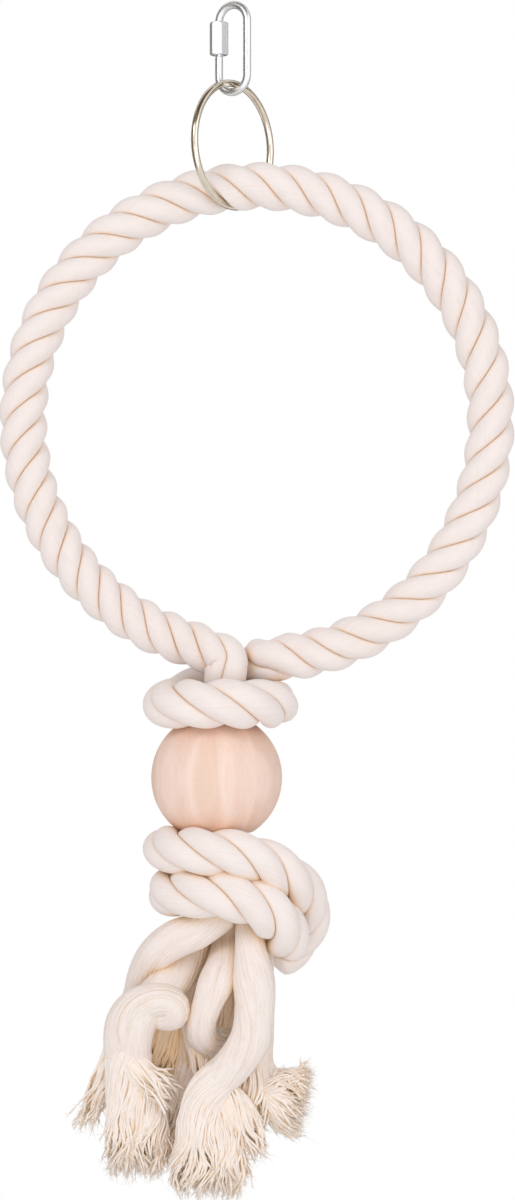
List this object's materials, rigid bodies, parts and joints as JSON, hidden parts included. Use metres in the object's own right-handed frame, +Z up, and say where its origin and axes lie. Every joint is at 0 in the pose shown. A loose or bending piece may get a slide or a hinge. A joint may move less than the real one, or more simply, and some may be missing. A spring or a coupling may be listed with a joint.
{
  "type": "rope ring bird swing",
  "caption": "Hanging bird swing: a round hoop of thick laid cotton rope on a steel ring and quick link, with a wooden ball, a knot and a frayed rope tassel below.",
  "frame": {"origin": "the hanging point, inside the top bow of the quick link, where the cage hook bears", "axes": "+Z up, +X to the right across the hoop as pictured, +Y away from the viewer through the hoop"},
  "size_m": [0.2008, 0.0555, 0.4639],
  "materials": {
    "zinc_plate": "bright zinc-plated steel wire and nut",
    "nickel_plate": "polished nickel-plated steel",
    "core_steel": "plain drawn steel wire, hidden in the rope",
    "cotton_rope": "soft natural cotton, three strands laid right-handed",
    "cotton_strand": "unlaid cotton strands of many parallel yarns",
    "cotton_fray": "frayed cotton yarn ends",
    "bare_beech": "smooth turned beech, unvarnished"
  },
  "bodies": {
    "quick_link": {"link_body": "zinc_plate"},
    "link_nut": {"link_nut": "zinc_plate"},
    "steel_ring": {"o_ring": "nickel_plate"},
    "hoop": {"rope_hoop": "cotton_rope", "hoop_core": "core_steel"},
    "pendant": {"rope_right": "cotton_rope", "rope_left": "cotton_rope", "tail_1": "cotton_strand", "tail_2": "cotton_strand", "tail_3": "cotton_strand", "tail_4": "cotton_strand", "tail_5": "cotton_strand", "tail_6": "cotton_strand", "tuft_1": "cotton_fray", "tuft_2": "cotton_fray", "tuft_3": "cotton_fray", "tuft_4": "cotton_fray", "tuft_5": "cotton_fray", "tuft_6": "cotton_fray"},
    "bead": {"bead": "bare_beech"}
  },
  "joints": [
    {"name": "nut_travel", "type": "slide", "parent": "quick_link", "child": "link_nut", "axis": [0, 0, -1], "range_m": [0, 0.008]},
    {"name": "ring_swing", "type": "hinge", "parent": "quick_link", "child": "steel_ring", "pos_m": [0, 0, -0.03255], "axis": [0.848, -0.53, 0], "range_deg": [-60, 60]},
    {"name": "hoop_swing", "type": "hinge", "parent": "steel_ring", "child": "hoop", "pos_m": [0, 0, -0.07745], "axis": [0.6091, 0.7931, 0], "range_deg": [-25, 25]},
    {"name": "pendant_sway", "type": "hinge", "parent": "hoop", "child": "pendant", "pos_m": [-0.0024, -0.0037, -0.2639], "axis": [0.8673, 0.1451, 0.4762], "range_deg": [-8, 8]},
    {"name": "bead_spin", "type": "hinge", "parent": "pendant", "child": "bead", "pos_m": [-0.0064, 0, -0.3008], "axis": [0, 0, 1], "continuous": true}
  ]
}
